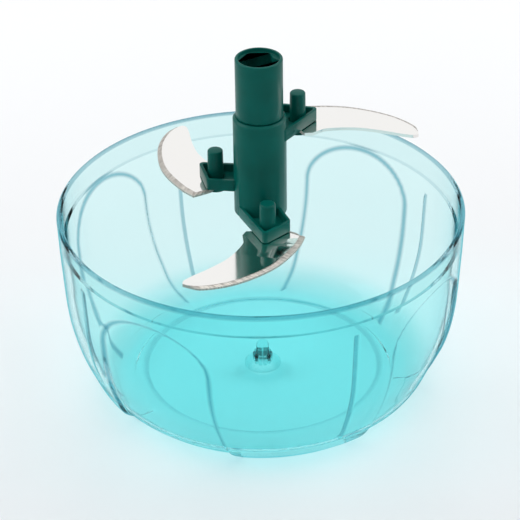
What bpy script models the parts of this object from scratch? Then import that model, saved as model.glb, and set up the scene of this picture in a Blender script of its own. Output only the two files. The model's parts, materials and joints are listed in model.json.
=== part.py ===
"""Bowl and blade unit of a pull-cord food chopper. Metres, +Z up.

The bowl stands on the floor with its axis on the world's Z axis. The blade unit is drawn lifted out of the
bowl, above the pin that it turns on, which is how the photograph shows it.
"""

import math

import bmesh
import bpy
from mathutils import Matrix, Vector

COLLECTION = "pull_cord_food_chopper"
CUTTERS = "cutters"

# Bowl
RIM_RADIUS = 0.0620
BOWL_HEIGHT = 0.0610
WALL = 0.0024
RIM_WALL = 0.0016
RIM_ROUND = 0.0005
LEDGE_HEIGHT = 0.0532
FLOOR_TOP = 0.0026
FLOOR_RADIUS = 0.0366
FLOOR_STEP = 0.0006
STEP_WIDTH = 0.0019
FOOT_WIDTH = 0.0050
FOOT_HEIGHT = 0.0007
# Radius as a share of the rim's, height as a share of the bowl's, from the rim down.
WALL_SHARES = (
    (1.000, 1.000),
    (0.996, 0.870),
    (0.990, 0.738),
    (0.974, 0.492),
    (0.940, 0.328),
    (0.895, 0.205),
    (0.839, 0.090),
    (0.744, 0.000),
)

# Grip panels sunk into the outside, and ribs raised on the inside
GRIP_COUNT = 4
GRIP_FIRST_AZIMUTH = math.radians(-123.0)
GRIP_WIDTH = 0.0390
GRIP_TOP = 0.0520
GRIP_ARCH = 0.0150
GRIP_DEPTH = 0.0011
RIB_FIRST_AZIMUTH = math.radians(-63.0)
RIB_WIDTH = 0.0014
RIB_PROUD = 0.0007
RIB_BOTTOM = 0.0060
RIB_TOP = 0.0490

# Pin and thrust ring in the middle of the floor
PIN_RADIUS = 0.0020
PIN_TOP = 0.0116
RING_CLEARANCE = 0.0003
FLANGE_RADIUS = 0.0057
FLANGE_THICKNESS = 0.0008
COLLAR_RADIUS = 0.0029
COLLAR_HEIGHT = 0.0033
COLLAR_TEETH = 10
TOOTH_SHARE = 0.06

# Hub and drive sleeve
HUB_RADIUS = 0.0080
HUB_BOTTOM = 0.0600
HUB_TOP = 0.0920
HUB_ROUND = 0.0006
PIN_BORE_DEPTH = 0.0090
SLEEVE_RADIUS = 0.0071
SLEEVE_TOP = 0.1110
SLEEVE_ROUND = 0.0003
SPIGOT_RADIUS = 0.0063
SPIGOT_LENGTH = 0.0130
MOUTH_RADIUS = 0.0062
MOUTH_DEPTH = 0.0012
SOCKET_RADIUS = 0.0054
SOCKET_DEPTH = 0.0150
SOCKET_LOBES = 6
LOBE_SHARE = 0.10

# Arms, one below another round the hub
ARM_NAMES = ("low", "high", "middle")
ARM_AZIMUTH = math.radians(-84.5)
ARM_STEP = math.radians(120.0)
ARM_LIFTS = (0.0, 0.0247, 0.0073)
ARM_REACH = 0.0213
TRAY_HEIGHT = 0.0036
TRAY_FLOOR = 0.0012
TRAY_WALL = 0.0009
TRAY_CORNER = 0.0012
# Corners of the tray as shares of the arm's reach: along the arm, then across it.
TRAY_SHARES = ((1.000, -0.056), (0.671, 0.357), (0.290, 0.250))
PEG_SHARES = (0.685, 0.030)

# Blades and the pegs that hold them
FIT = 0.0003
BLADE_REACH = 0.0475
BLADE_THICKNESS = 0.0010
EDGE_THICKNESS = 0.0003
GROUND_WIDTH = 0.0013
PEG_RADIUS = 0.0025
PEG_RISE = 0.0102
PEG_TIP_SHARE = 0.94
PEG_ROUND = 0.0003
HEAD_RADIUS = 0.0037
HEAD_THICKNESS = 0.0012
# Pairs of points across the blade, root to tip, as shares of its reach: the hollow side, the cutting side,
# and how much of the ground strip the pair has.
BLADE_SHARES = (
    ((0.262, -0.120), (0.280, 0.140), 0.15),
    ((0.305, -0.147), (0.322, 0.197), 0.15),
    ((0.358, -0.148), (0.358, 0.243), 1.0),
    ((0.395, -0.150), (0.452, 0.203), 1.0),
    ((0.432, -0.166), (0.537, 0.150), 1.0),
    ((0.505, -0.211), (0.621, 0.088), 1.0),
    ((0.579, -0.272), (0.699, 0.013), 1.0),
    ((0.642, -0.347), (0.764, -0.076), 1.0),
    ((0.695, -0.421), (0.819, -0.173), 1.0),
    ((0.737, -0.486), (0.859, -0.274), 1.0),
    ((0.770, -0.530), (0.880, -0.379), 1.0),
    ((0.795, -0.556), (0.881, -0.463), 1.0),
    ((0.826, -0.562), (0.862, -0.507), 0.6),
)
SMOOTH_PAIRS_FROM = 2

# Resolution
BOWL_STEPS = 72
ROUND_STEPS = 48
SPAN_POINTS = 3
ARC_POINTS = 4


def clear_scene():
    for obj in list(bpy.data.objects):
        bpy.data.objects.remove(obj, do_unlink=True)


def collection(name, hidden):
    made = bpy.data.collections.new(name)
    made.hide_render = hidden
    bpy.context.scene.collection.children.link(made)
    return made


def material(name, colour, metallic, roughness, transmission=0.0):
    made = bpy.data.materials.new(name)
    made.use_nodes = True
    shader = made.node_tree.nodes["Principled BSDF"]
    shader.inputs["Base Color"].default_value = colour
    shader.inputs["Metallic"].default_value = metallic
    shader.inputs["Roughness"].default_value = roughness
    shader.inputs["Transmission Weight"].default_value = transmission
    made.diffuse_color = colour
    return made


def add_object(name, data, hidden=False):
    """Puts the data in the part's collection, or, when it only cuts, in the hidden one."""
    obj = bpy.data.objects.new(name, data)
    bpy.data.collections[CUTTERS if hidden else COLLECTION].objects.link(obj)
    obj.hide_render = hidden
    if hidden:
        obj.display_type = "WIRE"
    return obj


def settle(obj):
    """Replaces the object's data and modifiers by the mesh that they make."""
    bpy.context.view_layer.update()
    graph = bpy.context.evaluated_depsgraph_get()
    mesh = bpy.data.meshes.new_from_object(obj.evaluated_get(graph))
    mesh.name = obj.name
    if obj.type == "MESH":
        obj.modifiers.clear()
        obj.data = mesh
        return obj
    name = obj.name
    hidden = obj.hide_render
    place = obj.matrix_world.copy()
    bpy.data.objects.remove(obj, do_unlink=True)
    solid = add_object(name, mesh, hidden)
    solid.matrix_world = place
    weld(solid)
    return solid


def weld(obj):
    """Joins the caps of a solid to its sides."""
    modifier = obj.modifiers.new("weld", "WELD")
    modifier.merge_threshold = FIT / 30.0
    settle(obj)


def turned(name, profile, steps, hidden=False):
    """A turned solid. The profile is (radius, height) and runs down the outer side."""
    mesh = bpy.data.meshes.new(name)
    points = [(radius, 0.0, height) for radius, height in profile]
    closed = profile[0][0] > 0.0
    edges = [(i, i + 1) for i in range(len(points) - 1)]
    if closed:
        edges.append((len(points) - 1, 0))
    mesh.from_pydata(points, edges, [])
    obj = add_object(name, mesh, hidden)
    screw = obj.modifiers.new("turn", "SCREW")
    screw.axis = "Z"
    screw.steps = steps
    screw.render_steps = steps
    screw.use_merge_vertices = True
    screw.merge_threshold = FIT / 30.0
    return settle(obj)


def prism(name, outline, bottom, top, hidden=False):
    """A flat outline of (x, y) points given thickness between two heights."""
    curve = bpy.data.curves.new(name, "CURVE")
    curve.dimensions = "2D"
    curve.fill_mode = "BOTH"
    curve.extrude = (top - bottom) / 2.0
    spline = curve.splines.new("POLY")
    spline.points.add(len(outline) - 1)
    for point, (x, y) in zip(spline.points, outline):
        point.co = (x, y, 0.0, 1.0)
    spline.use_cyclic_u = True
    obj = add_object(name, curve, hidden)
    obj.location.z = (top + bottom) / 2.0
    return settle(obj)


def combine(obj, other, operation):
    """Applies a Boolean with the other object, and leaves the other among the cutters."""
    modifier = obj.modifiers.new(other.name, "BOOLEAN")
    modifier.operation = operation
    modifier.object = other
    settle(obj)
    return obj


def gathered(name, pieces):
    """One hidden object that holds all the pieces, which don't touch one another."""
    shared = bmesh.new()
    for piece in pieces:
        mesh = piece.data.copy()
        mesh.transform(piece.matrix_world)
        shared.from_mesh(mesh)
        bpy.data.objects.remove(piece, do_unlink=True)
    mesh = bpy.data.meshes.new(name)
    shared.to_mesh(mesh)
    shared.free()
    return add_object(name, mesh, hidden=True)


def finish(obj, look, angle=math.radians(32.0)):
    obj.data.materials.clear()
    obj.data.materials.append(look)
    obj.data.shade_smooth()
    obj.data.set_sharp_from_angle(angle=angle)
    return obj


def spline_through(points, spans):
    """A smooth run of points through the given ones."""
    run = []
    padded = [points[0] * 2.0 - points[1], *points, points[-1] * 2.0 - points[-2]]
    for i in range(len(points) - 1):
        a, b, c, d = padded[i : i + 4]
        for k in range(spans):
            t = k / spans
            run.append(
                0.5 * (b * 2.0 + (c - a) * t + (a * 2.0 - b * 5.0 + c * 4.0 - d) * t**2
                + (b * 3.0 - a - c * 3.0 + d) * t**3)
            )
    run.append(points[-1])
    return run


def rounded(corners, radius):
    """The outline through the corners, each one rounded."""
    outline = []
    for i, corner in enumerate(corners):
        before = (corners[i - 1] - corner).normalized()
        after = (corners[(i + 1) % len(corners)] - corner).normalized()
        half = before.angle(after) / 2.0
        reach = radius / math.tan(half)
        centre = corner + (before + after).normalized() * (radius / math.sin(half))
        start = corner + before * reach - centre
        end = corner + after * reach - centre
        for k in range(ARC_POINTS + 1):
            spoke = start.lerp(end, k / ARC_POINTS)
            outline.append(tuple(centre + spoke.normalized() * radius))
    return outline


def lobed(mean, swing_share, lobes):
    """A round outline whose radius rises and falls."""
    count = ROUND_STEPS * 2
    outline = []
    for i in range(count):
        angle = math.tau * i / count
        radius = mean * (1.0 + swing_share * math.cos(lobes * angle))
        outline.append((radius * math.cos(angle), radius * math.sin(angle)))
    return outline


def wall_curve(depth):
    """Points of the wall, rim to base, at a depth below its outer face."""
    points = [Vector((r * RIM_RADIUS, z * BOWL_HEIGHT)) for r, z in WALL_SHARES]
    run = spline_through(points, SPAN_POINTS)
    moved = []
    for i, point in enumerate(run):
        along = run[min(i + 1, len(run) - 1)] - run[max(i - 1, 0)]
        inward = Vector((along.y, -along.x)).normalized()
        moved.append(point + inward * depth)
    return moved


def wall_solid(name, depth):
    """A solid that fills the bowl out to a depth below its outer face, and runs on above and below it."""
    run = wall_curve(depth)
    profile = [(0.0, BOWL_HEIGHT + WALL), (run[0].x, BOWL_HEIGHT + WALL)]
    profile += [(point.x, point.y) for point in run]
    profile += [(run[-1].x, -WALL), (0.0, -WALL)]
    return turned(name, profile, BOWL_STEPS, hidden=True)


def dome(radius, top):
    """Points of a half-round end, from its tip down to where its side begins."""
    points = []
    for k in range(ARC_POINTS + 1):
        angle = math.pi / 2.0 * k / ARC_POINTS
        points.append((radius * math.sin(angle), top - radius + radius * math.cos(angle)))
    return points


def bowl_profile():
    step_radius = FLOOR_RADIUS + STEP_WIDTH
    ring_top = FLOOR_TOP + FLOOR_STEP
    inner = [p for p in reversed(wall_curve(WALL)) if ring_top + FLOOR_STEP < p.y < LEDGE_HEIGHT]
    outer = wall_curve(0.0)
    lip = RIM_RADIUS - RIM_WALL
    profile = dome(PIN_RADIUS, PIN_TOP)
    profile += [(PIN_RADIUS, FLOOR_TOP), (FLOOR_RADIUS, FLOOR_TOP)]
    profile += [(FLOOR_RADIUS + FLOOR_STEP, ring_top), (step_radius, ring_top)]
    profile += [(p.x, p.y) for p in inner]
    profile += [(inner[-1].x, LEDGE_HEIGHT), (lip, LEDGE_HEIGHT)]
    profile += [(lip, BOWL_HEIGHT - RIM_ROUND), (lip + RIM_ROUND, BOWL_HEIGHT)]
    profile += [(RIM_RADIUS - RIM_ROUND, BOWL_HEIGHT), (RIM_RADIUS, BOWL_HEIGHT - RIM_ROUND)]
    profile += [(p.x, p.y) for p in outer[1:]]
    foot = outer[-1].x - FOOT_WIDTH
    profile += [(foot, 0.0), (foot - FOOT_HEIGHT, FOOT_HEIGHT), (0.0, FOOT_HEIGHT)]
    return profile


def grip_outline():
    """The arch of a grip panel, across and up."""
    half = GRIP_WIDTH / 2.0
    outline = [(-half, -WALL), (half, -WALL)]
    count = ARC_POINTS * 4
    for k in range(count + 1):
        angle = math.pi * k / count
        outline.append((half * math.cos(angle), GRIP_TOP - GRIP_ARCH + GRIP_ARCH * math.sin(angle)))
    return outline


def radial_prism(name, outline, azimuth, near, far):
    """A prism whose outline is across and up, run outwards along an azimuth."""
    obj = prism(name, outline, near, far, hidden=True)
    stand = Matrix(((0.0, 0.0, 1.0, 0.0), (1.0, 0.0, 0.0, 0.0), (0.0, 1.0, 0.0, 0.0), (0.0, 0.0, 0.0, 1.0)))
    obj.matrix_world = Matrix.Rotation(azimuth, 4, "Z") @ stand @ obj.matrix_world
    return obj


def build_bowl(look):
    bowl = turned("bowl", bowl_profile(), BOWL_STEPS)
    core = wall_solid("grip_core", GRIP_DEPTH)
    rib_outer = wall_solid("rib_outer", WALL / 2.0)
    rib_inner = wall_solid("rib_inner", WALL + RIB_PROUD)
    half = RIB_WIDTH / 2.0
    rib_outline = rounded(
        [Vector(p) for p in ((-half, RIB_BOTTOM), (half, RIB_BOTTOM), (half, RIB_TOP), (-half, RIB_TOP))],
        RIB_WIDTH / 3.0,
    )
    grips = []
    ribs = []
    for i in range(GRIP_COUNT):
        turn = math.tau * i / GRIP_COUNT
        azimuth = GRIP_FIRST_AZIMUTH + turn
        grips.append(radial_prism(f"grip_{i}", grip_outline(), azimuth, FLOOR_RADIUS, RIM_RADIUS + WALL))
        azimuth = RIB_FIRST_AZIMUTH + turn
        ribs.append(radial_prism(f"rib_{i}", rib_outline, azimuth, FLOOR_RADIUS, RIM_RADIUS))
    grips = combine(gathered("grips", grips), core, "DIFFERENCE")
    ribs = combine(gathered("ribs", ribs), rib_outer, "INTERSECT")
    combine(ribs, rib_inner, "DIFFERENCE")
    combine(bowl, grips, "DIFFERENCE")
    combine(bowl, ribs, "UNION")
    return finish(bowl, look)


def build_thrust_ring(look):
    bottom = FLOOR_TOP + RING_CLEARANCE
    flange_top = bottom + FLANGE_THICKNESS
    top = flange_top + COLLAR_HEIGHT
    edge = FLANGE_THICKNESS / 4.0
    profile = [(0.0, flange_top), (FLANGE_RADIUS - edge, flange_top), (FLANGE_RADIUS, flange_top - edge)]
    profile += [(FLANGE_RADIUS, bottom), (0.0, bottom)]
    ring = turned("thrust_ring", profile, ROUND_STEPS)
    outline = lobed(COLLAR_RADIUS, TOOTH_SHARE, COLLAR_TEETH)
    collar = prism("collar_blank", outline, bottom + edge, top, hidden=True)
    combine(ring, collar, "UNION")
    bore = PIN_RADIUS + RING_CLEARANCE
    cut = turned("ring_bore", rod(bore, bottom - FIT, top + FIT), ROUND_STEPS, hidden=True)
    combine(ring, cut, "DIFFERENCE")
    return finish(ring, look)


def rod(radius, bottom, top):
    return [(0.0, top), (radius, top), (radius, bottom), (0.0, bottom)]


def tray_corners():
    """Corners of the tray across the arm, with the side that runs on as a tangent to the hub."""
    tip, side, root = (Vector((x * ARM_REACH, y * ARM_REACH)) for x, y in TRAY_SHARES)
    to_tangent = math.acos(HUB_RADIUS / tip.length)
    tangent_angle = math.atan2(tip.y, tip.x) - to_tangent
    tangent = Vector((math.cos(tangent_angle), math.sin(tangent_angle))) * HUB_RADIUS
    return [tangent, tip, side, root]


def inset(corners, distance):
    """The same corners with each side moved inwards."""
    lines = []
    for i, corner in enumerate(corners):
        along = (corners[(i + 1) % len(corners)] - corner).normalized()
        inward = Vector((-along.y, along.x))
        lines.append((corner + inward * distance, along))
    moved = []
    for i, (point, along) in enumerate(lines):
        before, before_along = lines[i - 1]
        across = before_along.cross(along)
        t = (point - before).cross(along) / across
        moved.append(before + before_along * t)
    return moved


def build_tray(index):
    """One arm's tray, open at the top, with its peg hole."""
    bottom = HUB_BOTTOM + ARM_LIFTS[index]
    corners = tray_corners()
    name = ARM_NAMES[index]
    tray = prism(f"tray_{name}", rounded(corners, TRAY_CORNER), bottom, bottom + TRAY_HEIGHT, hidden=True)
    opened = rounded(inset(corners, TRAY_WALL), TRAY_CORNER / 2.0)
    pocket = prism(f"pocket_{name}", opened, bottom + TRAY_FLOOR, bottom + TRAY_HEIGHT + FIT, hidden=True)
    combine(tray, pocket, "DIFFERENCE")
    hole = turned(
        f"tray_hole_{name}", rod(PEG_RADIUS + FIT, bottom - FIT, bottom + TRAY_FLOOR + FIT), ROUND_STEPS, hidden=True
    )
    hole.location.xy = peg_place()
    combine(tray, hole, "DIFFERENCE")
    tray.rotation_euler.z = arm_azimuth(index)
    return tray


def build_hub(look):
    outer = [(0.0, HUB_TOP), (HUB_RADIUS - HUB_ROUND, HUB_TOP), (HUB_RADIUS, HUB_TOP - HUB_ROUND)]
    outer += [(HUB_RADIUS, HUB_BOTTOM), (0.0, HUB_BOTTOM)]
    hub = turned("blade_hub", outer, ROUND_STEPS)
    for index in range(len(ARM_NAMES)):
        combine(hub, build_tray(index), "UNION")
    socket_bottom = HUB_TOP - SPIGOT_LENGTH - FIT
    top_bore = turned("spigot_bore", rod(SPIGOT_RADIUS + FIT, socket_bottom, HUB_TOP + FIT), ROUND_STEPS, hidden=True)
    combine(hub, top_bore, "DIFFERENCE")
    bore_top = HUB_BOTTOM + PIN_BORE_DEPTH
    pin_bore = turned("pin_bore", rod(PIN_RADIUS + FIT, HUB_BOTTOM - FIT, bore_top), ROUND_STEPS, hidden=True)
    combine(hub, pin_bore, "DIFFERENCE")
    return finish(hub, look)


def build_sleeve(look):
    shoulder = HUB_TOP + FIT
    profile = [(0.0, SLEEVE_TOP), (SLEEVE_RADIUS - SLEEVE_ROUND, SLEEVE_TOP)]
    profile += [(SLEEVE_RADIUS, SLEEVE_TOP - SLEEVE_ROUND)]
    profile += [(SLEEVE_RADIUS, shoulder), (SPIGOT_RADIUS, shoulder)]
    profile += [(SPIGOT_RADIUS, HUB_TOP - SPIGOT_LENGTH), (0.0, HUB_TOP - SPIGOT_LENGTH)]
    sleeve = turned("drive_sleeve", profile, ROUND_STEPS)
    outline = lobed(SOCKET_RADIUS, LOBE_SHARE, SOCKET_LOBES)
    socket = prism("socket_cut", outline, SLEEVE_TOP - SOCKET_DEPTH, SLEEVE_TOP - MOUTH_DEPTH / 2.0, hidden=True)
    mouth = turned("mouth_cut", rod(MOUTH_RADIUS, SLEEVE_TOP - MOUTH_DEPTH, SLEEVE_TOP + FIT), ROUND_STEPS, hidden=True)
    combine(sleeve, socket, "DIFFERENCE")
    combine(sleeve, mouth, "DIFFERENCE")
    return finish(sleeve, look)


def blade_pairs():
    """Smooth pairs of points across the blade, each with its share of the ground strip."""
    raw = [Vector((*hollow, *cutting, strip)) for hollow, cutting, strip in BLADE_SHARES]
    smooth = raw[:SMOOTH_PAIRS_FROM] + spline_through(raw[SMOOTH_PAIRS_FROM:], SPAN_POINTS)
    pairs = []
    for row in smooth:
        hollow = Vector((row[0], row[1])) * BLADE_REACH
        cutting = Vector((row[2], row[3])) * BLADE_REACH
        pairs.append((hollow, cutting, row[4]))
    return pairs


def build_blade(index, look):
    """A loft of four-cornered sections: flat below, ground to a thin edge on the cutting side."""
    name = ARM_NAMES[index]
    top = -FIT
    bottom = top - BLADE_THICKNESS
    points = []
    for hollow, cutting, strip in blade_pairs():
        inward = (hollow - cutting).normalized()
        ground = cutting + inward * GROUND_WIDTH * strip
        edge = bottom + EDGE_THICKNESS
        points += [(*hollow, bottom), (*cutting, bottom), (*cutting, edge), (*ground, top), (*hollow, top)]
    around = 5
    rows = len(points) // around
    faces = [tuple(range(around))[::-1], tuple((rows - 1) * around + k for k in range(around))]
    for row in range(rows - 1):
        for k in range(around):
            a = row * around + k
            b = row * around + (k + 1) % around
            faces.append((a, b, b + around, a + around))
    mesh = bpy.data.meshes.new(f"blade_{name}")
    mesh.from_pydata(points, [], faces)
    blade = add_object(f"blade_{name}", mesh)
    hole = turned(f"blade_hole_{name}", rod(PEG_RADIUS + FIT, bottom - FIT, top + FIT), ROUND_STEPS, hidden=True)
    hole.location.xy = peg_place()
    combine(blade, hole, "DIFFERENCE")
    blade.location.z = HUB_BOTTOM + ARM_LIFTS[index]
    blade.rotation_euler.z = arm_azimuth(index)
    return finish(blade, look, math.radians(20.0))


def arm_azimuth(index):
    return ARM_AZIMUTH + ARM_STEP * index


def peg_place():
    """The peg's axis across an arm that lies along +X."""
    return Vector(PEG_SHARES) * ARM_REACH


def build_peg(index, look):
    """The post that holds a blade: a head below the blade and a shank up through the tray."""
    head_top = -FIT - BLADE_THICKNESS - FIT
    head_bottom = head_top - HEAD_THICKNESS
    tip = PEG_RADIUS * PEG_TIP_SHARE
    profile = [(0.0, PEG_RISE), (tip - PEG_ROUND, PEG_RISE), (tip, PEG_RISE - PEG_ROUND)]
    profile += [(PEG_RADIUS, TRAY_FLOOR), (PEG_RADIUS, head_top), (HEAD_RADIUS, head_top)]
    profile += [(HEAD_RADIUS, head_bottom + PEG_ROUND), (HEAD_RADIUS - PEG_ROUND, head_bottom), (0.0, head_bottom)]
    peg = turned(f"peg_{ARM_NAMES[index]}", profile, ROUND_STEPS // 2)
    peg.location.xy = Matrix.Rotation(arm_azimuth(index), 2) @ peg_place()
    peg.location.z = HUB_BOTTOM + ARM_LIFTS[index]
    return finish(peg, look)


def main():
    clear_scene()
    collection(COLLECTION, hidden=False)
    collection(CUTTERS, hidden=True)
    clear = material("clear_bowl", (0.45, 0.86, 0.88, 1.0), 0.0, 0.05, 0.9)
    ring_look = material("clear_ring", (0.36, 0.80, 0.83, 1.0), 0.0, 0.12, 0.8)
    hub_look = material("green_hub", (0.010, 0.110, 0.085, 1.0), 0.0, 0.30)
    sleeve_look = material("green_sleeve", (0.010, 0.110, 0.085, 1.0), 0.0, 0.28)
    build_bowl(clear)
    build_thrust_ring(ring_look)
    build_hub(hub_look)
    build_sleeve(sleeve_look)
    for index, name in enumerate(ARM_NAMES):
        build_blade(index, material(f"steel_{name}", (0.86, 0.84, 0.82, 1.0), 1.0, 0.10))
        build_peg(index, material(f"green_peg_{name}", (0.010, 0.110, 0.085, 1.0), 0.0, 0.32))


main()
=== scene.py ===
"""Looks of a food chopper's clear bowl and blade unit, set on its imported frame. Metres, +Z up."""

import json
import logging
import math
from collections.abc import Iterable, Sequence
from dataclasses import dataclass, field
from enum import Enum

import bmesh
import bpy
import numpy as np
from mathutils import Matrix, Vector

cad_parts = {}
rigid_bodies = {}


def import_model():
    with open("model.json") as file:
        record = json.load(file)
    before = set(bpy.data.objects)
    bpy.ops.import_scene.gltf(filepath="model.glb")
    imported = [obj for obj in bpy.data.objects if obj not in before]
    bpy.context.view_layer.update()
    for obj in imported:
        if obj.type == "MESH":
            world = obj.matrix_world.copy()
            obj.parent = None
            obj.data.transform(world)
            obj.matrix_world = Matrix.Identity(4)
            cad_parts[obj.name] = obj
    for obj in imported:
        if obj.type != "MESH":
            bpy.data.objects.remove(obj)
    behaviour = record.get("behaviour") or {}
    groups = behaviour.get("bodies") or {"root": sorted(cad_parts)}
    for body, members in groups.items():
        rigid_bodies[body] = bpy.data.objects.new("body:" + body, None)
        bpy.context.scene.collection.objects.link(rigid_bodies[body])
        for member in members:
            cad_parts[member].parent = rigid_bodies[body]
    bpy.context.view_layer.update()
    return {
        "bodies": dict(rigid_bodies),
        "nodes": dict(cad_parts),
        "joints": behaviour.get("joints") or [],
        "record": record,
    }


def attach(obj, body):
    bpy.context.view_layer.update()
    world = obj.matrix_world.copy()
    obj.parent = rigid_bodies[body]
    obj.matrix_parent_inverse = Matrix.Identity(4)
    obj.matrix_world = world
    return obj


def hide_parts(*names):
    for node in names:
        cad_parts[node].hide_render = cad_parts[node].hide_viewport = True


LOG = logging.getLogger("chopper")
Colour = tuple[float, float, float, float]


class Body(Enum):
    """Rigid bodies of the frame."""

    BOWL = "bowl_body"
    RING = "ring_body"
    UNIT = "blade_unit"


class Arm(Enum):
    """Arms of the hub, counted round it from the one that faces the camera."""

    LOW = 0
    HIGH = 1
    MIDDLE = 2

    @property
    def label(self) -> str:
        """The arm's name as the nodes spell it."""
        return self.name.lower()


class Term:
    """A number socket that takes part in arithmetic."""

    def __init__(self, paint: "Paint", socket: bpy.types.NodeSocket) -> None:
        """Wraps a socket of a paint's tree."""
        self.paint = paint
        self.socket = socket

    def _math(self, operation: str, left: "Term | float", right: "Term | float") -> "Term":
        """Adds one Math node.

        Args:
            operation: the node's operation.
            left: its first value.
            right: its second value.

        Returns:
            The node's result.
        """
        made = self.paint.node("ShaderNodeMath", {"operation": operation}, {0: left, 1: right})
        return Term(self.paint, made.outputs[0])

    def __add__(self, other: "Term | float") -> "Term":
        """Sum."""
        return self._math("ADD", self, other)

    def __radd__(self, other: float) -> "Term":
        """Sum, number first."""
        return self._math("ADD", other, self)

    def __sub__(self, other: "Term | float") -> "Term":
        """Difference."""
        return self._math("SUBTRACT", self, other)

    def __rsub__(self, other: float) -> "Term":
        """Difference, number first."""
        return self._math("SUBTRACT", other, self)

    def __mul__(self, other: "Term | float") -> "Term":
        """Product."""
        return self._math("MULTIPLY", self, other)

    def __rmul__(self, other: float) -> "Term":
        """Product, number first."""
        return self._math("MULTIPLY", other, self)

    def __truediv__(self, other: "Term | float") -> "Term":
        """Quotient."""
        return self._math("DIVIDE", self, other)

    def __pow__(self, other: float) -> "Term":
        """Power."""
        return self._math("POWER", self, other)

    def apply(self, operation: str, other: "Term | float" = 0.0) -> "Term":
        """A function of this value.

        Args:
            operation: the Math node's operation.
            other: its second value, for an operation that has one.

        Returns:
            The function's result.
        """
        return self._math(operation, self, other)

    def wrapped(self, period: float) -> "Term":
        """This value brought within half a period of zero.

        Args:
            period: the period.

        Returns:
            The value between minus and plus half a period.
        """
        values = {0: self, 1: period / 2.0, 2: -period / 2.0}
        return Term(self.paint, self.paint.node("ShaderNodeMath", {"operation": "WRAP"}, values).outputs[0])

    def step(self, start: float, end: float) -> "Term":
        """A smooth rise from 0 at start to 1 at end.

        Args:
            start: where it begins to rise.
            end: where it reaches 1.

        Returns:
            The risen value.
        """
        made = self.paint.node(
            "ShaderNodeMapRange",
            {"interpolation_type": "SMOOTHSTEP"},
            {"Value": self, "From Min": start, "From Max": end},
        )
        return Term(self.paint, made.outputs["Result"])


class Paint:
    """A material under construction."""

    def __init__(self, name: str) -> None:
        """Starts an empty node tree."""
        self.material = bpy.data.materials.new(name)
        self.material.use_nodes = True
        self.tree = self.material.node_tree
        self.tree.nodes.clear()

    def node(self, kind: str, settings: dict, values: dict) -> bpy.types.Node:
        """Adds a node.

        Args:
            kind: the node's type.
            settings: its attributes, set first.
            values: its inputs by name or index, each a value, a Term or a socket.

        Returns:
            The node.
        """
        made = self.tree.nodes.new(kind)
        for key, value in settings.items():
            setattr(made, key, value)
        for key, value in values.items():
            socket = made.inputs[key]
            if isinstance(value, Term):
                self.tree.links.new(value.socket, socket)
            elif isinstance(value, bpy.types.NodeSocket):
                self.tree.links.new(value, socket)
            else:
                socket.default_value = value
        return made

    def place(self) -> bpy.types.NodeSocket:
        """The object coordinates of the point."""
        return self.node("ShaderNodeTexCoord", {}, {}).outputs["Object"]

    def parts(self, vector: bpy.types.NodeSocket) -> tuple[Term, Term, Term]:
        """The three numbers of a vector.

        Args:
            vector: a vector socket.

        Returns:
            Its X, Y and Z.
        """
        split = self.node("ShaderNodeSeparateXYZ", {}, {0: vector})
        return tuple(Term(self, socket) for socket in split.outputs)

    def noise(self, vector: bpy.types.NodeSocket, scale: float, detail: float = 2.0) -> Term:
        """Noise over a vector.

        Args:
            vector: where it is read.
            scale: its scale.
            detail: its octaves.

        Returns:
            A value about 0.5.
        """
        made = self.node("ShaderNodeTexNoise", {}, {"Vector": vector, "Scale": scale, "Detail": detail})
        return Term(self, made.outputs[0])

    def mix(self, share: Term, low: object, high: object) -> bpy.types.NodeSocket:
        """A colour between two.

        Args:
            share: 0 for the first colour, 1 for the second.
            low: the first colour or socket.
            high: the second colour or socket.

        Returns:
            The mixed colour.
        """
        made = self.node("ShaderNodeMix", {"data_type": "RGBA"}, {0: share, 6: low, 7: high})
        return made.outputs[2]

    def bump(self, height: Term, strength: float, distance: float) -> bpy.types.NodeSocket:
        """A bumped normal.

        Args:
            height: the height, 0 to 1.
            strength: how much of it shows.
            distance: what a height of 1 stands for, in metres.

        Returns:
            The normal.
        """
        values = {"Height": height, "Strength": strength, "Distance": distance}
        return self.node("ShaderNodeBump", {}, values).outputs[0]

    def attribute(self, name: str) -> Term:
        """A number stored on the mesh's points.

        Args:
            name: the attribute's name.

        Returns:
            Its value.
        """
        return Term(self, self.node("ShaderNodeAttribute", {"attribute_name": name}, {}).outputs["Fac"])

    def surface(self, values: dict) -> bpy.types.NodeSocket:
        """A Principled surface.

        Args:
            values: its inputs by name.

        Returns:
            The shader.
        """
        return self.node("ShaderNodeBsdfPrincipled", {}, values).outputs[0]

    def veil(self, colour: Colour) -> bpy.types.NodeSocket:
        """A see-through shader that tints what lies behind it.

        Args:
            colour: its tint.

        Returns:
            The shader.
        """
        return self.node("ShaderNodeBsdfTransparent", {}, {"Color": colour}).outputs[0]

    def between(
        self, share: object, one: bpy.types.NodeSocket, other: bpy.types.NodeSocket
    ) -> bpy.types.NodeSocket:
        """A shader between two.

        Args:
            share: 0 for the first shader, 1 for the second.
            one: the first shader.
            other: the second shader.

        Returns:
            The mixed shader.
        """
        return self.node("ShaderNodeMixShader", {}, {0: share, 1: one, 2: other}).outputs[0]

    def out(self, shader: bpy.types.NodeSocket) -> bpy.types.Material:
        """Ends the material with a shader.

        Args:
            shader: the surface.

        Returns:
            The material.
        """
        self.node("ShaderNodeOutputMaterial", {}, {"Surface": shader})
        return self.material


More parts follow.
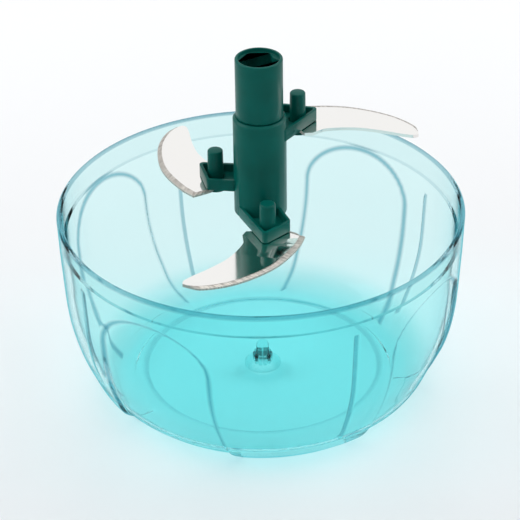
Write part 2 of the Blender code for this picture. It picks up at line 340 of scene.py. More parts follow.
@dataclass(frozen=True)
class Panels:
    """Where the bowl's grip panels and ribs lie, for the painted shade lines along their edges, which stand
    in for the dark lines that refraction draws there.
    """

    count: int
    grip_first: float
    grip_half: float
    grip_top: float
    grip_arch: float
    rib_first: float
    rib_half: float
    rib_bottom: float
    rib_top: float
    line: float = 0.0008
    line_reach: float = 3.0
    rib_core: float = 0.6
    rib_fade: float = 1.4
    rib_start: float = 1.2
    face_from: float = 0.9
    grip_shade_strength: float = 0.95
    rib_shade_strength: float = 0.80

    def mask(self, paint: "Paint", place: bpy.types.NodeSocket) -> Term:
        """Draws the painted shade lines.

        Args:
            paint: the material under construction.
            place: object coordinates.

        Returns:
            The painted shade's strength.
        """
        x, y, z = paint.parts(place)
        period = math.tau / self.count
        radius = (x * x + y * y) ** 0.5
        azimuth = y.apply("ARCTAN2", x)

        def aside(first: float) -> Term:
            """Distance sideways from the nearest panel or rib, where the first lies at this azimuth."""
            turned = (azimuth - first).wrapped(period)
            return (radius * turned.apply("SINE")).apply("ABSOLUTE")

        spring = self.grip_top - self.grip_arch
        above = ((z - spring) / self.grip_arch).apply("MAXIMUM", 0.0)
        reach = ((aside(self.grip_first) / self.grip_half) ** 2.0 + above * above) ** 0.5
        depth = (1.0 - reach) * self.grip_half
        # Painted shade: a dark line just inside each panel's edge on outer faces, and along each rib on
        # inner faces.
        grip = depth.step(-self.line, self.line) * (1.0 - depth.step(self.line, self.line * self.line_reach))
        rib = 1.0 - aside(self.rib_first).step(self.rib_half * self.rib_core, self.rib_half * self.rib_fade)
        started = z.step(self.rib_bottom, self.rib_bottom * self.rib_start)
        tall = started * (1.0 - z.step(self.rib_top - self.line, self.rib_top))
        side = paint.attribute("side")
        outer = side.step(self.face_from, 1.0)
        inner = (-1.0 * side).step(self.face_from, 1.0)
        return grip * outer * self.grip_shade_strength + rib * tall * inner * self.rib_shade_strength


@dataclass(frozen=True)
class ClearAqua:
    """Clear plastic tinted aqua, deeper in the floor, with painted shade where the wall is seen edge on and
    painted dark lines at the rim, ledge, step and the panels' and ribs' edges.
    """

    name: str
    panels: Panels | None = None
    wall: Colour = (0.740, 0.955, 0.955, 1.0)
    floor: Colour = (0.430, 0.820, 0.830, 1.0)
    # Painted shade: the deep teal of the dark lines at the rim, ledge, lip, step and panel and rib edges.
    edge: Colour = (0.040, 0.260, 0.350, 1.0)
    # Painted shade: the deeper tint mixed in where the wall is seen edge on, and the tint of what shows
    # through there.
    graze_shade: Colour = (0.340, 0.740, 0.790, 1.0)
    floor_height: float = 0.0045
    floor_from: float = 0.0050
    roughness: float = 0.02
    shadow: Colour = (0.820, 0.940, 0.950, 1.0)
    ior: float = 1.06
    coat: float = 0.18
    coat_roughness: float = 0.03
    fade_from: float = 0.5
    fade_to: float = 2.5
    grazing: float = 0.75
    grazing_from: float = 0.50
    skim: float = 0.9
    skim_from: float = 0.80
    skim_to: float = 0.95
    flow_scale: float = 60.0
    flow_bump: float = 0.06
    flow_depth: float = 0.0006
    speck_scale: float = 240.0
    speck_roughness: float = 0.02
    line_roughness: float = 0.12

    def build(self) -> bpy.types.Material:
        """Builds the material."""
        paint = Paint(self.name)
        place = paint.place()
        x, y, z = paint.parts(place)
        facing = Term(paint, paint.node("ShaderNodeLayerWeight", {}, {"Blend": 0.5}).outputs["Facing"])
        radius = (x * x + y * y) ** 0.5
        low = radius.step(self.floor_from * self.fade_from, self.floor_from)
        low = low * (1.0 - z.step(self.floor_height * self.fade_from, self.floor_height * self.fade_to))
        # Painted shade lines from the mesh's line attribute and the panels' edges, mixed toward the edge
        # colour below.
        line = paint.attribute("line")
        if self.panels:
            line = line.apply("MAXIMUM", self.panels.mask(paint, place))
        # Painted shade toward the silhouettes, standing in for the longer path through the plastic seen edge
        # on.
        grazing = facing.step(self.grazing_from, 1.0) * self.grazing
        tinted = paint.mix(grazing, paint.mix(low, self.wall, self.floor), self.graze_shade)
        flow = paint.noise(place, self.flow_scale, 3.0)
        specks = self.speck_roughness * paint.noise(place, self.speck_scale)
        clear = paint.surface(
            {
                "Base Color": paint.mix(line, tinted, self.edge),
                "Roughness": self.roughness + specks + self.line_roughness * line,
                "IOR": self.ior,
                "Coat Weight": self.coat,
                "Coat Roughness": self.coat_roughness,
                "Transmission Weight": 1.0,
                "Normal": paint.bump(flow, self.flow_bump, self.flow_depth),
            }
        )
        # Near edge on the surface turns see-through, tinted by the same painted shade.
        skim = facing.step(self.skim_from, self.skim_to) * self.skim
        seen = paint.between(skim, clear, paint.veil(self.graze_shade))
        light = paint.node("ShaderNodeLightPath", {}, {})
        return paint.out(paint.between(light.outputs["Is Shadow Ray"], seen, paint.veil(self.shadow)))


@dataclass(frozen=True)
class GreenPlastic:
    """Moulded dark green plastic with a soft gloss."""

    name: str
    deep: Colour = (0.0004, 0.0800, 0.0640, 1.0)
    pale: Colour = (0.0012, 0.1120, 0.0910, 1.0)
    roughness: float = 0.24
    cloud_roughness: float = 0.12
    cloud_scale: float = 55.0
    cloud_range: tuple[float, float] = (0.30, 0.70)
    grain_scale: float = 2600.0
    grain_bump: float = 0.10
    grain_depth: float = 0.00003
    ior: float = 1.50
    specular: float = 0.11

    def build(self) -> bpy.types.Material:
        """Builds the material."""
        paint = Paint(self.name)
        place = paint.place()
        cloud = paint.noise(place, self.cloud_scale, 3.0)
        grain = paint.noise(place, self.grain_scale)
        shader = paint.surface(
            {
                "Base Color": paint.mix(cloud.step(*self.cloud_range), self.deep, self.pale),
                "Roughness": self.roughness + self.cloud_roughness * cloud,
                "IOR": self.ior,
                "Specular IOR Level": self.specular,
                "Normal": paint.bump(grain, self.grain_bump, self.grain_depth),
            }
        )
        return paint.out(shader)


@dataclass(frozen=True)
class PolishedSteel:
    """Mirror polished steel sheet whose cutting edge is ground across, with fine lines."""

    name: str
    bright: Colour = (0.950, 0.925, 0.890, 1.0)
    ground: Colour = (0.270, 0.250, 0.225, 1.0)
    pale_line: Colour = (0.640, 0.605, 0.555, 1.0)
    lines_per_metre: float = 3200.0
    lines_per_millimetre: float = 0.4
    lines_range: tuple[float, float] = (0.35, 0.65)
    lines_bump: float = 0.35
    lines_depth: float = 0.00004
    strip_width: float = 1.7
    strip_soft: float = 0.1
    strip_roughness: float = 0.34
    roughness: float = 0.06
    smear_roughness: float = 0.05
    smear_scale: float = 90.0

    def build(self) -> bpy.types.Material:
        """Builds the material."""
        paint = Paint(self.name)
        place = paint.place()
        where = paint.node("ShaderNodeUVMap", {"uv_map": "sheet"}, {}).outputs[0]
        along, across, _ = paint.parts(where)
        strip = 1.0 - across.step(self.strip_width - self.strip_soft, self.strip_width + self.strip_soft)
        stretched = {0: along * self.lines_per_metre, 1: across * self.lines_per_millimetre}
        lines = paint.noise(paint.node("ShaderNodeCombineXYZ", {}, stretched).outputs[0], 1.0)
        smear = paint.noise(place, self.smear_scale, 3.0)
        worn = paint.mix(lines.step(*self.lines_range), self.ground, self.pale_line)
        polished = self.roughness + self.smear_roughness * smear
        shader = paint.surface(
            {
                "Base Color": paint.mix(strip, self.bright, worn),
                "Metallic": 1.0,
                "Roughness": polished + strip * self.strip_roughness,
                "Normal": paint.bump(lines * strip, self.lines_bump, self.lines_depth),
            }
        )
        return paint.out(shader)


def make_object(name: str, mesh: bpy.types.Mesh) -> bpy.types.Object:
    """Puts a mesh in the scene as an object at the origin.

    Args:
        name: the object's name.
        mesh: its mesh.

    Returns:
        The object.
    """
    obj = bpy.data.objects.new(name, mesh)
    bpy.context.scene.collection.objects.link(obj)
    return obj


def dress(obj: bpy.types.Object, material: bpy.types.Material, body: Body) -> None:
    """Gives a piece its material and its body.

    Args:
        obj: the piece.
        material: its finish.
        body: the body that it rides on.
    """
    obj.data.materials.clear()
    obj.data.materials.append(material)
    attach(obj, body.value)
    LOG.info("%s: %d faces, rides on %s", obj.name, len(obj.data.polygons), body.value)


def smooth(mesh: bpy.types.Mesh, degrees: float) -> None:
    """Shades a mesh smooth, apart from its sharp edges.

    Args:
        mesh: the mesh.
        degrees: the angle from which an edge is sharp.
    """
    mesh.shade_smooth()
    mesh.set_sharp_from_angle(angle=math.radians(degrees))


def applied(obj: bpy.types.Object) -> None:
    """Turns a piece and its modifiers into a plain mesh.

    Args:
        obj: the piece.
    """
    bpy.context.view_layer.update()
    graph = bpy.context.evaluated_depsgraph_get()
    mesh = bpy.data.meshes.new_from_object(obj.evaluated_get(graph))
    obj.modifiers.clear()
    obj.data = mesh


def through(points: Sequence[Vector], spans: int) -> list[Vector]:
    """A smooth run of points through the given ones.

    Args:
        points: the points that it passes through.
        spans: how many steps it takes between two of them.

    Returns:
        The run.
    """
    padded = [points[0] * 2.0 - points[1], *points, points[-1] * 2.0 - points[-2]]
    run = []
    for i in range(len(points) - 1):
        a, b, c, d = padded[i : i + 4]
        for k in range(spans):
            t = k / spans
            cubic = (b * 3.0 - a - c * 3.0 + d) * t**3
            square = (a * 2.0 - b * 5.0 + c * 4.0 - d) * t**2
            run.append((b * 2.0 + (c - a) * t + square + cubic) * 0.5)
    run.append(points[-1])
    return run


def quarter_turn(steps: int) -> list[Vector]:
    """Points of a quarter circle of radius 1.

    Args:
        steps: how many steps it takes.

    Returns:
        Pairs of sine and cosine.
    """
    angles = [math.pi / 2.0 * k / steps for k in range(steps + 1)]
    return [Vector((math.sin(angle), math.cos(angle))) for angle in angles]


@dataclass
class Bowl:
    """The clear bowl: a turned wall with grip panels sunk in outside and thin ribs raised inside."""

    rim_radius: float = 0.0620
    height: float = 0.0610
    wall: float = 0.0024
    rim_wall: float = 0.0016
    rim_round: float = 0.0005
    ledge_height: float = 0.0532
    floor_top: float = 0.0026
    floor_radius: float = 0.0366
    floor_step: float = 0.0006
    step_width: float = 0.0019
    foot_width: float = 0.0050
    foot_height: float = 0.0007
    pin_radius: float = 0.0020
    pin_top: float = 0.0116
    pin_root: float = 0.0004
    grip_count: int = 4
    grip_first: float = math.radians(-123.0)
    grip_width: float = 0.0390
    grip_top: float = 0.0520
    grip_arch: float = 0.0150
    grip_depth: float = 0.0011
    grip_soft: float = 0.0015
    rib_first: float = math.radians(-63.0)
    rib_width: float = 0.0014
    rib_proud: float = 0.0007
    rib_bottom: float = 0.0060
    rib_top: float = 0.0490
    wall_shares: tuple[tuple[float, float], ...] = (
        (1.000, 1.000),
        (0.996, 0.870),
        (0.990, 0.738),
        (0.974, 0.492),
        (0.940, 0.328),
        (0.895, 0.205),
        (0.839, 0.090),
        (0.744, 0.000),
    )
    # Painted shade: how dark each face's line is drawn at the rim, ledge, lip and floor step, standing in
    # for the darkening that refraction and the long path through the plastic give there.
    shade_line_shares: dict[str, float] = field(
        default_factory=lambda: {"rim": 0.80, "ledge": 0.38, "lip": 0.08, "step": 0.45}
    )
    face_sides: dict[str, float] = field(default_factory=lambda: {"outer": 1.0, "inner": -1.0})
    floor_shares: tuple[float, ...] = (0.25, 0.5, 0.75, 0.985)
    tip_steps: int = 6
    root_steps: int = 4
    spans: int = 11
    coarse: float = math.radians(1.5)
    fine: float = math.radians(0.30)
    rib_spare: float = 1.2
    sharp: float = 40.0

    def wall_run(self, depth: float) -> list[Vector]:
        """Points of the wall, rim to base, at a depth below its outer face.

        Args:
            depth: how far below the face.

        Returns:
            Pairs of radius and height.
        """
        points = [Vector((r * self.rim_radius, z * self.height)) for r, z in self.wall_shares]
        run = through(points, self.spans)
        moved = []
        for i, point in enumerate(run):
            along = run[min(i + 1, len(run) - 1)] - run[max(i - 1, 0)]
            moved.append(point + Vector((along.y, -along.x)).normalized() * depth)
        return moved

    def profile(self) -> list[tuple[Vector, str]]:
        """The bowl's section from the pin's tip to the middle of its underside.

        Returns:
            Points with the name of the face that they lie on.
        """
        rows: list[tuple[Vector, str]] = []

        def add(face: str, *spots: tuple[float, float]) -> None:
            """Adds points of one face."""
            rows.extend((Vector(spot), face) for spot in spots)

        tip = Vector((0.0, self.pin_top - self.pin_radius))
        rows += [(turn * self.pin_radius + tip, "pin") for turn in quarter_turn(self.tip_steps)]
        root = Vector((self.pin_radius + self.pin_root, self.floor_top + self.pin_root))
        rows += [(root - turn.yx * self.pin_root, "pin") for turn in quarter_turn(self.root_steps)]
        ring = self.floor_top + self.floor_step
        add("floor", *((self.floor_radius * share, self.floor_top) for share in self.floor_shares))
        add("step", (self.floor_radius, self.floor_top), (self.floor_radius + self.floor_step, ring))
        add("floor", (self.floor_radius + self.step_width, ring))
        lowest = ring + self.floor_step
        inner = [p for p in reversed(self.wall_run(self.wall)) if lowest < p.y < self.ledge_height]
        rows += [(p, "inner") for p in inner]
        lip = self.rim_radius - self.rim_wall
        top = self.height - self.rim_round
        under_top = self.height - self.rim_round * 2.0
        add("ledge", (inner[-1].x, self.ledge_height), (lip, self.ledge_height))
        add("lip", (lip, self.ledge_height + self.rim_round), (lip, under_top))
        add("rim", (lip, top), (lip + self.rim_round, self.height))
        add("rim", (self.rim_radius - self.rim_round, self.height), (self.rim_radius, top))
        outer = self.wall_run(0.0)
        rows += [(p, "outer") for p in outer if p.y < under_top]
        foot = outer[-1].x - self.foot_width
        add("foot", (foot, 0.0), (foot - self.foot_height, self.foot_height), (0.0, self.foot_height))
        return rows

    def azimuths(self) -> np.ndarray:
        """Angles round the bowl, closer together where a panel or a rib has its edge."""
        quarter = math.tau / self.grip_count
        half = self.grip_width / 2.0
        spare = 2.0 * self.fine
        widest = math.asin(half / (self.rim_radius * self.wall_shares[-1][0])) + spare
        narrow = math.asin(half / self.rim_radius) - spare
        near_rib = self.rib_width / self.rim_radius * self.rib_spare
        marks = []
        angle = 0.0
        while angle < quarter - self.fine / 2.0:
            marks.append(angle)
            centred = min(angle, quarter - angle)
            near_panel = narrow < centred < widest
            from_rib = abs(angle - (self.rib_first - self.grip_first) % quarter)
            angle += self.fine if near_panel or from_rib < near_rib else self.coarse
        base = np.array(marks)
        return np.concatenate([base + self.grip_first + quarter * i for i in range(self.grip_count)])

    def aside(self, angles: np.ndarray, first: float, radius: float) -> np.ndarray:
        """Distance sideways of a row's points from the nearest panel or rib.

        Args:
            angles: azimuths of the row.
            first: azimuth of the first panel or rib.
            radius: the row's radius.

        Returns:
            Distances in metres.
        """
        quarter = math.tau / self.grip_count
        turned = (angles - first + quarter / 2.0) % quarter - quarter / 2.0
        return np.abs(radius * np.sin(turned))

    def grip_share(self, angles: np.ndarray, radius: float, height: float) -> np.ndarray:
        """How much of the panels' depth each point of a row has.

        Args:
            angles: azimuths of the row.
            radius: its radius.
            height: its height.

        Returns:
            Shares from 0 to 1.
        """
        aside = self.aside(angles, self.grip_first, radius)
        half = self.grip_width / 2.0
        spring = self.grip_top - self.grip_arch
        if height <= spring:
            inside = half - aside
        else:
            inside = (1.0 - np.hypot(aside / half, (height - spring) / self.grip_arch)) * half
        t = np.clip(inside / self.grip_soft, 0.0, 1.0)
        return t * t * (3.0 - 2.0 * t)

    def rib_share(self, angles: np.ndarray, radius: float, height: float) -> np.ndarray:
        """How much of the ribs' height each point of a row has.

        Args:
            angles: azimuths of the row.
            radius: its radius.
            height: its height.

        Returns:
            Shares from 0 to 1.
        """
        if not self.rib_bottom < height < self.rib_top:
            return np.zeros_like(angles)
        aside = self.aside(angles, self.rib_first, radius)
        ends = min(1.0, (self.rib_top - height) / self.rib_width)
        return np.clip((self.rib_width / 2.0 - aside) / (self.rib_width / 4.0), 0.0, 1.0) * ends

    def build(self) -> bpy.types.Object:
        """Builds the bowl's mesh.

        Returns:
            The bowl.
        """
        rows = self.profile()
        angles = self.azimuths()
        count = len(angles)
        cos, sin = np.cos(angles), np.sin(angles)
        points = [(0.0, 0.0, rows[0][0].y)]
        shades = [0.0]
        sides = [0.0]
        for i, (point, face) in enumerate(rows[1:-1], start=1):
            before, after = rows[i - 1][0], rows[i + 1][0]
            along = (after - before).normalized()
            inward = Vector((along.y, -along.x))
            move = np.zeros(count)
            # Painted shade for this face's dark line.
            shade = np.full(count, self.shade_line_shares.get(face, 0.0))
            if face == "outer":
                move = self.grip_share(angles, point.x, point.y) * self.grip_depth
            if face == "foot" and point.y == 0.0:
                inward = Vector((0.0, 0.0))
            if face == "inner":
                move = self.rib_share(angles, point.x, point.y) * self.rib_proud
                inward = -inward
            radius = point.x + inward.x * move
            height = np.maximum(point.y + inward.y * move, 0.0)
            points += list(zip(radius * cos, radius * sin, height))
            shades += list(shade)
            sides += [self.face_sides.get(face, 0.0)] * count
        points.append((0.0, 0.0, rows[-1][0].y))
        shades.append(0.0)
        sides.append(0.0)
        faces = []
        last = len(points) - 1
        for k in range(count):
            j = (k + 1) % count
            faces.append((0, 1 + k, 1 + j))
            for row in range(len(rows) - 3):
                a = 1 + row * count
                b = a + count
                faces.append((a + k, b + k, b + j, a + j))
            a = 1 + (len(rows) - 3) * count
            faces.append((a + k, last, a + j))
        mesh = bpy.data.meshes.new("clear_bowl")
        mesh.from_pydata([tuple(map(float, p)) for p in points], [], faces)
        # The line attribute carries the painted shade of the dark lines; side holds 1 on outer faces and -1
        # on inner ones.
        for name, values in (("line", shades), ("side", sides)):
            stored = mesh.attributes.new(name, "FLOAT", "POINT")
            stored.data.foreach_set("value", np.array(values, dtype=np.float32))
        tidy = bmesh.new()
        tidy.from_mesh(mesh)
        bmesh.ops.recalc_face_normals(tidy, faces=tidy.faces)
        tidy.to_mesh(mesh)
        tidy.free()
        smooth(mesh, self.sharp)
        return make_object("clear_bowl", mesh)

    def panels(self) -> Panels:
        """Where the panels and ribs lie, for the lines in the plastic."""
        return Panels(
            count=self.grip_count,
            grip_first=self.grip_first,
            grip_half=self.grip_width / 2.0,
            grip_top=self.grip_top,
            grip_arch=self.grip_arch,
            rib_first=self.rib_first,
            rib_half=self.rib_width / 2.0,
            rib_bottom=self.rib_bottom,
            rib_top=self.rib_top,
        )

    def dress(self, obj: bpy.types.Object, finish: ClearAqua) -> None:
        """Dresses the bowl.

        Args:
            obj: the bowl.
            finish: its plastic.
        """
        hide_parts("bowl")
        dress(obj, finish.build(), Body.BOWL)


@dataclass
class Moulding:
    """A moulded piece taken from its node, with its doubled points joined and its edges eased."""

    node: str
    name: str
    slot: str
    body: Body
    ease: float = 0.00016
    ease_steps: int = 2
    sharp: float = 34.0
    join: float = 0.000002
    flat: float = 1.0

    def build(self, frame: dict) -> bpy.types.Object:
        """Copies the node's mesh.


        Returns:
            The piece.
        """
        mesh = frame["nodes"][self.node].data.copy()
        mesh.name = self.name
        tidy = bmesh.new()
        tidy.from_mesh(mesh)
        bmesh.ops.remove_doubles(tidy, verts=tidy.verts, dist=self.join)
        flat = math.radians(self.flat)
        bmesh.ops.dissolve_limit(tidy, angle_limit=flat, verts=tidy.verts, edges=tidy.edges)
        bmesh.ops.recalc_face_normals(tidy, faces=tidy.faces)
        tidy.to_mesh(mesh)
        tidy.free()
        obj = make_object(self.name, mesh)
        bevel = obj.modifiers.new("ease", "BEVEL")
        bevel.width = self.ease
        bevel.segments = self.ease_steps
        bevel.limit_method = "ANGLE"
        bevel.angle_limit = math.radians(self.sharp)
        applied(obj)
        smooth(obj.data, self.sharp)
        return obj

    def dress(self, obj: bpy.types.Object, material: bpy.types.Material) -> None:
        """Dresses the piece.

        Args:
            obj: the piece.
            material: its finish.
        """
        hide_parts(self.node)
        dress(obj, material, self.body)


@dataclass
class Blade:
    """One curved blade: a smooth loft, flat below and ground on its outer edge."""

    arm: Arm
    hub_bottom: float = 0.0600
    first_azimuth: float = math.radians(-84.5)
    arm_step: float = math.radians(120.0)
    lifts: tuple[float, float, float] = (0.0, 0.0247, 0.0073)
    fit: float = 0.0003
    reach: float = 0.0475
    thickness: float = 0.0010
    edge: float = 0.0006
    ground: float = 0.0013
    plain: float = 9.0
    millimetres: float = 1000.0
    spans: int = 8
    smooth_from: int = 2
    sharp: float = 18.0
    peg_shares: tuple[float, float] = (0.685, 0.030)
    arm_reach: float = 0.0213
    hole_radius: float = 0.0028
    hole_sides: int = 48
    drill_share: float = 3.0
    pair_shares: tuple[tuple[tuple[float, float], tuple[float, float], float], ...] = (
        ((0.262, -0.120), (0.280, 0.140), 0.15),
        ((0.305, -0.147), (0.322, 0.197), 0.15),
        ((0.358, -0.148), (0.358, 0.243), 1.0),
        ((0.395, -0.150), (0.452, 0.203), 1.0),
        ((0.432, -0.166), (0.537, 0.150), 1.0),
        ((0.505, -0.211), (0.621, 0.088), 1.0),
        ((0.579, -0.272), (0.699, 0.013), 1.0),
        ((0.642, -0.347), (0.764, -0.076), 1.0),
        ((0.695, -0.421), (0.819, -0.173), 1.0),
        ((0.737, -0.486), (0.859, -0.274), 1.0),
        ((0.770, -0.530), (0.880, -0.379), 1.0),
        ((0.795, -0.556), (0.881, -0.463), 1.0),
        ((0.826, -0.562), (0.862, -0.507), 0.6),
    )

    def pairs(self) -> list[tuple[Vector, Vector, float]]:
        """Smooth pairs of points across the blade.

        Returns:
            The hollow side, the cutting side and the share of the ground strip.
        """
        raw = [Vector((*hollow, *cutting, strip)) for hollow, cutting, strip in self.pair_shares]
        run = raw[: self.smooth_from] + through(raw[self.smooth_from :], self.spans)
        return [(Vector(row[0:2]) * self.reach, Vector(row[2:4]) * self.reach, row[4]) for row in run]

    def build(self) -> bpy.types.Object:
        """Builds the blade where it lies on its arm.

        Returns:
            The blade.
        """
        top = -self.fit
        bottom = top - self.thickness
        rim = bottom + self.edge
        shape = bmesh.new()
        sheet = shape.loops.layers.uv.new("sheet")
        rows = []
        length = 0.0
        before = None
        for hollow, cutting, strip in self.pairs():
            inward = (hollow - cutting).normalized()
            ground = cutting + inward * self.ground * strip
            length += (cutting - before).length if before else 0.0
            before = cutting
            spots = [(*hollow, bottom), (*cutting, bottom), (*cutting, rim), (*ground, top), (*hollow, top)]
            bevel = self.ground * strip * self.millimetres
            full = (hollow - cutting).length * self.millimetres
            plain = (self.plain, self.plain)
            away = (plain, (0.0, 0.0), (0.0, bevel), (bevel, full), plain)
            rows.append(([shape.verts.new(spot) for spot in spots], length, away))
        for (near, near_at, near_away), (far, far_at, far_away) in zip(rows, rows[1:]):
            for k in range(len(near)):
                j = (k + 1) % len(near)
                face = shape.faces.new((near[k], near[j], far[j], far[k]))
                corners = ((near_at, near_away[k][0]), (near_at, near_away[k][1]))
                corners += ((far_at, far_away[k][1]), (far_at, far_away[k][0]))
                for loop, corner in zip(face.loops, corners):
                    loop[sheet].uv = corner
        shape.faces.new(rows[0][0][::-1])
        shape.faces.new(rows[-1][0])
        bmesh.ops.recalc_face_normals(shape, faces=shape.faces)
        mesh = bpy.data.meshes.new(f"steel_blade_{self.arm.label}")
        shape.to_mesh(mesh)
        shape.free()
        blade = make_object(mesh.name, mesh)
        self.pierce(blade)
        turn = Matrix.Rotation(self.first_azimuth + self.arm_step * self.arm.value, 4, "Z")
        lift = Matrix.Translation((0.0, 0.0, self.hub_bottom + self.lifts[self.arm.value]))
        blade.data.transform(lift @ turn)
        smooth(blade.data, self.sharp)
        return blade

    def pierce(self, blade: bpy.types.Object) -> None:
        """Cuts the peg's hole.

        Args:
            blade: the blade, still on the X axis.
        """
        spot = Vector(self.peg_shares) * self.arm_reach
        middle = -self.fit - self.thickness / 2.0
        drill = bmesh.new()
        bmesh.ops.create_cone(
            drill,
            cap_ends=True,
            segments=self.hole_sides,
            radius1=self.hole_radius,
            radius2=self.hole_radius,
            depth=self.thickness * self.drill_share,
            matrix=Matrix.Translation((*spot, middle)),
        )
        mesh = bpy.data.meshes.new("drill")
        drill.to_mesh(mesh)
        drill.free()
        tool = make_object("drill", mesh)
        cut = blade.modifiers.new("hole", "BOOLEAN")
        cut.operation = "DIFFERENCE"
        cut.object = tool
        applied(blade)
        bpy.data.objects.remove(tool, do_unlink=True)

    def dress(self, obj: bpy.types.Object, material: bpy.types.Material) -> None:
        """Dresses the blade.

        Args:
            obj: the blade.
            material: its steel.
        """
        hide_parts(f"blade_{self.arm.label}")
        dress(obj, material, Body.UNIT)


@dataclass
class CollarTeeth:
    """Small teeth round the thrust ring's collar, set out by geometry nodes."""

    count: int = 10
    radius: float = 0.0029
    tooth: float = 0.00055
    tooth_sides: int = 12
    bottom: float = 0.0038
    top: float = 0.0069
    sharp: float = 40.0

    def tree(self, material: bpy.types.Material) -> bpy.types.NodeTree:
        """Builds the node tree.

        Args:
            material: the teeth's finish.

        Returns:
            The tree.
        """
        tree = bpy.data.node_groups.new("teeth_round_collar", "GeometryNodeTree")
        face = tree.interface
        face.new_socket("Geometry", in_out="OUTPUT", socket_type="NodeSocketGeometry")
        for label in ("Collar radius", "Tooth radius", "Height"):
            face.new_socket(label, in_out="INPUT", socket_type="NodeSocketFloat")
        face.new_socket("Count", in_out="INPUT", socket_type="NodeSocketInt")
        nodes = tree.nodes
        given = nodes.new("NodeGroupInput")
        circle = nodes.new("GeometryNodeMeshCircle")
        tooth = nodes.new("GeometryNodeMeshCylinder")
        tooth.inputs["Vertices"].default_value = self.tooth_sides
        spread = nodes.new("GeometryNodeInstanceOnPoints")
        real = nodes.new("GeometryNodeRealizeInstances")
        paint = nodes.new("GeometryNodeSetMaterial")
        paint.inputs["Material"].default_value = material
        out = nodes.new("NodeGroupOutput")
        for source, target in (
            (given.outputs["Collar radius"], circle.inputs["Radius"]),
            (given.outputs["Count"], circle.inputs["Vertices"]),
            (given.outputs["Tooth radius"], tooth.inputs["Radius"]),
            (given.outputs["Height"], tooth.inputs["Depth"]),
            (circle.outputs[0], spread.inputs["Points"]),
            (tooth.outputs["Mesh"], spread.inputs["Instance"]),
            (spread.outputs[0], real.inputs[0]),
            (real.outputs[0], paint.inputs["Geometry"]),
            (paint.outputs[0], out.inputs[0]),
        ):
            tree.links.new(source, target)
        return tree

    def build(self, material: bpy.types.Material) -> bpy.types.Object:
        """Builds the teeth as one plain mesh.

        Args:
            material: their finish.

        Returns:
            The teeth.
        """
        obj = make_object("collar_teeth", bpy.data.meshes.new("collar_teeth"))
        grow = obj.modifiers.new("teeth", "NODES")
        tree = self.tree(material)
        grow.node_group = tree
        sizes = {
            "Collar radius": self.radius - self.tooth,
            "Tooth radius": self.tooth,
            "Height": self.top - self.bottom,
            "Count": self.count,
        }
        for item in tree.interface.items_tree:
            if item.in_out == "INPUT":
                grow[item.identifier] = sizes[item.name]
        applied(obj)
        obj.data.transform(Matrix.Translation((0.0, 0.0, (self.top + self.bottom) / 2.0)))
        smooth(obj.data, self.sharp)
        return obj


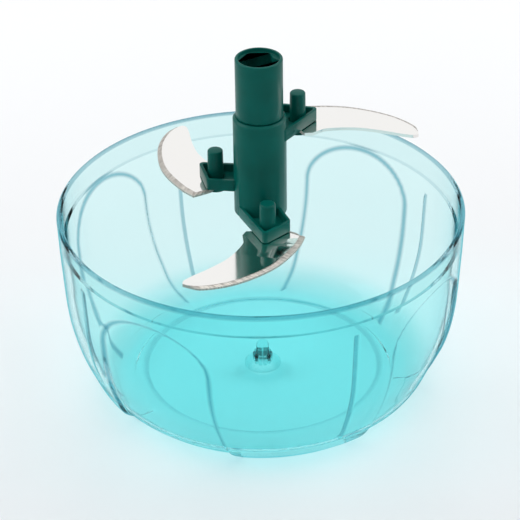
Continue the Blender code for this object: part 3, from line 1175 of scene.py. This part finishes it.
@dataclass
class Studio:
    """Floor, lamps, world and camera."""

    image_size: float = 520.0
    focal_pixels: float = 2100.0
    camera_back: float = 0.5500
    camera_height: float = 0.3860
    pitch: float = math.radians(32.07)
    roll: float = math.radians(-0.8)
    yaw: float = math.radians(-0.045)
    sensor: float = 36.0
    floor_size: float = 6.0
    floor_drop: float = 0.0002
    # Painted shade: the floor goes from the back colour to the shaded front colour across this range of Y.
    floor_shade_blend: tuple[float, float] = (-0.24, 0.40)
    floor_back: Colour = (0.985, 0.990, 0.995, 1.0)
    shaded_floor_front: Colour = (0.770, 0.765, 0.780, 1.0)
    floor_roughness: float = 0.38
    lamp_aim: float = 0.05
    lamps: tuple[tuple[str, tuple[float, float, float], float, float], ...] = (
        ("lamp_left", (-0.9, 0.1, 0.7), 0.8, 4.6),
        ("lamp_right", (0.9, 0.2, 0.7), 0.8, 4.3),
        ("lamp_above", (0.0, 0.3, 1.3), 1.0, 3.0),
    )
    sky: Colour = (0.97, 0.985, 1.0, 1.0)
    sky_light: float = 0.55
    sky_seen: float = 0.97

    def build_floor(self) -> None:
        """Builds the floor, paler toward the back, with painted shade that darkens it toward the front."""
        shape = bmesh.new()
        bmesh.ops.create_grid(shape, x_segments=2, y_segments=2, size=self.floor_size / 2.0)
        mesh = bpy.data.meshes.new("floor")
        shape.to_mesh(mesh)
        shape.free()
        floor = make_object("floor", mesh)
        floor.location.z = -self.floor_drop
        paint = Paint("pale_floor")
        _, y, _ = paint.parts(paint.place())
        # Painted shade toward the camera, where less light falls on the floor.
        tone = paint.mix(y.step(*self.floor_shade_blend), self.shaded_floor_front, self.floor_back)
        shader = paint.surface({"Base Color": tone, "Roughness": self.floor_roughness})
        floor.data.materials.append(paint.out(shader))

    def build_lamp(self, name: str, place: Vector, size: float, power: float) -> None:
        """Builds a square lamp that faces the bowl.

        Args:
            name: its name.
            place: where it hangs.
            size: its width.
            power: its power in watts.
        """
        data = bpy.data.lights.new(name, "AREA")
        data.size = size
        data.energy = power
        lamp = bpy.data.objects.new(name, data)
        lamp.location = place
        aim = Vector((0.0, 0.0, self.lamp_aim)) - place
        lamp.rotation_euler = aim.to_track_quat("-Z", "Y").to_euler()
        bpy.context.scene.collection.objects.link(lamp)

    def build_world(self) -> None:
        """Makes the world a soft grey light that camera, gloss and glass see as white."""
        world = bpy.data.worlds.new("studio")
        bpy.context.scene.world = world
        world.use_nodes = True
        tree = world.node_tree
        tree.nodes.clear()
        out = tree.nodes.new("ShaderNodeOutputWorld")
        back = tree.nodes.new("ShaderNodeBackground")
        back.inputs[0].default_value = self.sky
        seen = tree.nodes.new("ShaderNodeLightPath")
        total = tree.nodes.new("ShaderNodeMath")
        total.operation = "MAXIMUM"
        either = tree.nodes.new("ShaderNodeMath")
        either.operation = "MAXIMUM"
        level = tree.nodes.new("ShaderNodeMapRange")
        level.inputs["To Min"].default_value = self.sky_light
        level.inputs["To Max"].default_value = self.sky_seen
        tree.links.new(seen.outputs["Is Camera Ray"], either.inputs[0])
        tree.links.new(seen.outputs["Is Glossy Ray"], either.inputs[1])
        tree.links.new(either.outputs[0], total.inputs[0])
        tree.links.new(seen.outputs["Is Transmission Ray"], total.inputs[1])
        tree.links.new(total.outputs[0], level.inputs["Value"])
        tree.links.new(level.outputs["Result"], back.inputs[1])
        tree.links.new(back.outputs[0], out.inputs[0])

    def build_camera(self) -> None:
        """Sets the camera where the photograph was taken from."""
        data = bpy.data.cameras.new("camera")
        data.sensor_width = self.sensor
        data.lens = self.focal_pixels / self.image_size * self.sensor
        camera = bpy.data.objects.new("camera", data)
        bpy.context.scene.collection.objects.link(camera)
        level = Vector((math.sin(self.yaw), math.cos(self.yaw), 0.0))
        ahead = level * math.cos(self.pitch) - Vector((0.0, 0.0, math.sin(self.pitch)))
        right = Vector((math.cos(self.yaw), -math.sin(self.yaw), 0.0))
        up = right.cross(ahead)
        across = right * math.cos(self.roll) + up * math.sin(self.roll)
        above = up * math.cos(self.roll) - right * math.sin(self.roll)
        axes = Matrix((across, above, -ahead)).transposed()
        place = Matrix.Translation((0.0, -self.camera_back, self.camera_height))
        camera.matrix_world = place @ axes.to_4x4()
        bpy.context.scene.camera = camera

    def build(self) -> None:
        """Builds the whole studio."""
        scene = bpy.context.scene
        scene.view_settings.view_transform = "Standard"
        self.build_floor()
        self.build_world()
        for name, place, size, power in self.lamps:
            self.build_lamp(name, Vector(place), size, power)
        self.build_camera()


def main() -> None:
    """Builds every piece, in order, and reports it."""
    logging.basicConfig(level=logging.INFO, format="%(name)s: %(message)s")
    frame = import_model()
    Studio().build()
    bowl = Bowl()
    bowl.dress(bowl.build(), ClearAqua("clear_aqua_plastic", bowl.panels()))
    # The ring has less of the painted edge-on shade.
    ring_finish = ClearAqua(
        "clear_ring_plastic", wall=(0.70, 0.925, 0.93, 1.0), floor_height=0.0005, grazing=0.3
    )
    ring_plastic = ring_finish.build()
    ring = Moulding("thrust_ring", "clear_thrust_ring", "clear_ring", Body.RING, ease=0.00008)
    ring.dress(ring.build(frame), ring_plastic)
    teeth = CollarTeeth().build(ring_plastic)
    dress(teeth, ring_plastic, Body.RING)
    green = GreenPlastic("green_plastic").build()
    hub = Moulding("blade_hub", "green_blade_hub", "green_hub", Body.UNIT)
    hub.dress(hub.build(frame), green)
    sleeve = Moulding("drive_sleeve", "green_drive_sleeve", "green_sleeve", Body.UNIT)
    sleeve.dress(sleeve.build(frame), green)
    steel = PolishedSteel("polished_steel").build()
    for arm in Arm:
        blade = Blade(arm)
        blade.dress(blade.build(), steel)
        peg = Moulding(f"peg_{arm.label}", f"green_peg_{arm.label}", "green_peg", Body.UNIT, ease=0.0001)
        peg.dress(peg.build(frame), green)


if __name__ == "__main__":
    main()
